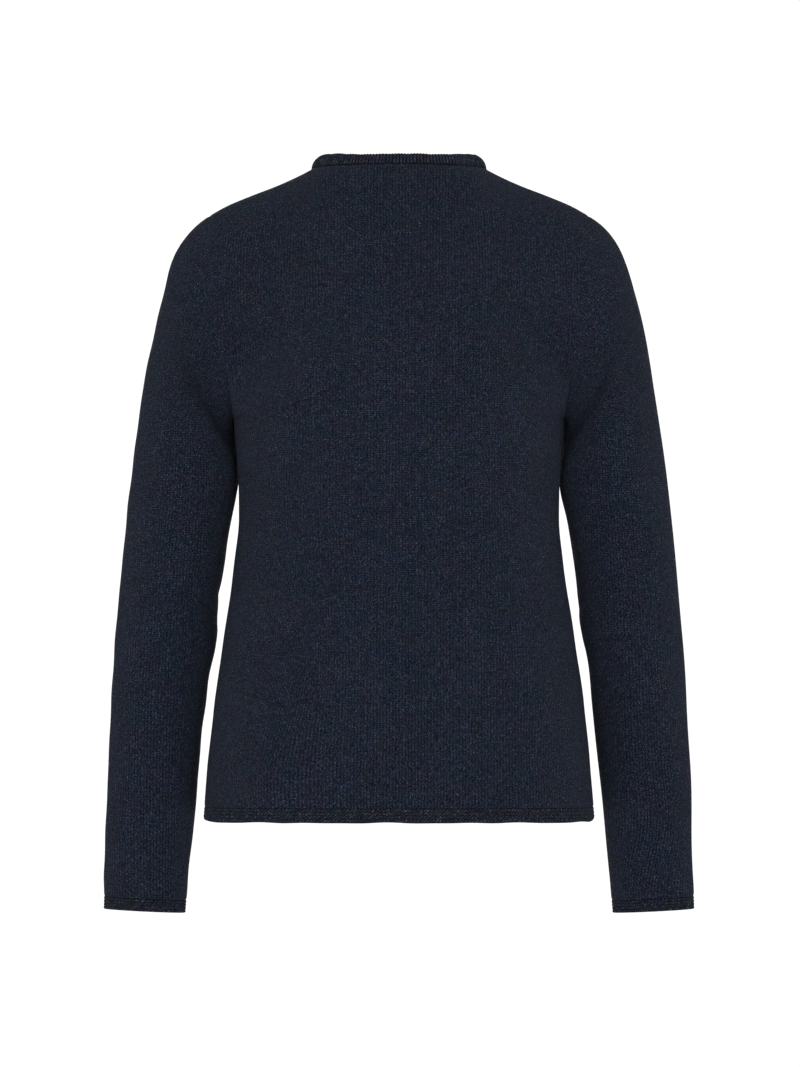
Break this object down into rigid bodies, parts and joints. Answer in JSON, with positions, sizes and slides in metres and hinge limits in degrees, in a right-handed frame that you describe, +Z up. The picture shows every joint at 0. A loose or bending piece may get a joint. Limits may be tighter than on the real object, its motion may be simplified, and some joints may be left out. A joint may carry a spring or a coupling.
{
  "type": "cardigan",
  "caption": "Fine-knit long-sleeved cardigan with a round ribbed neck, narrow ridged hem and cuffs and a buttoned front, filled out as if worn and empty inside.",
  "frame": {"origin": "midway between the two side-neck points, the inner ends of the shoulder seams, where the garment rests on its wearer", "axes": "+Z up, +X to the wearer's left, +Y to the wearer's back; the buttoned front faces -Y"},
  "size_m": [0.5376, 0.2515, 0.6812],
  "materials": {
    "navy_knit": "matte navy melange jersey knit with a light surface fuzz",
    "navy_band_knit": "matte navy melange rib and ridged knit, a little denser and darker than the body",
    "navy_button": "satin dark navy resin"
  },
  "bodies": {
    "root": {"back": "navy_knit", "left_front": "navy_knit", "right_front": "navy_knit", "left_sleeve": "navy_knit", "right_sleeve": "navy_knit", "neckband": "navy_band_knit", "back_hem_band": "navy_band_knit", "left_front_hem_band": "navy_band_knit", "right_front_hem_band": "navy_band_knit", "left_cuff_band": "navy_band_knit", "right_cuff_band": "navy_band_knit", "button_band": "navy_band_knit", "buttonhole_band": "navy_band_knit", "button_1": "navy_button", "button_2": "navy_button", "button_3": "navy_button", "button_4": "navy_button", "button_5": "navy_button", "button_6": "navy_button", "button_7": "navy_button"}
  },
  "joints": []
}
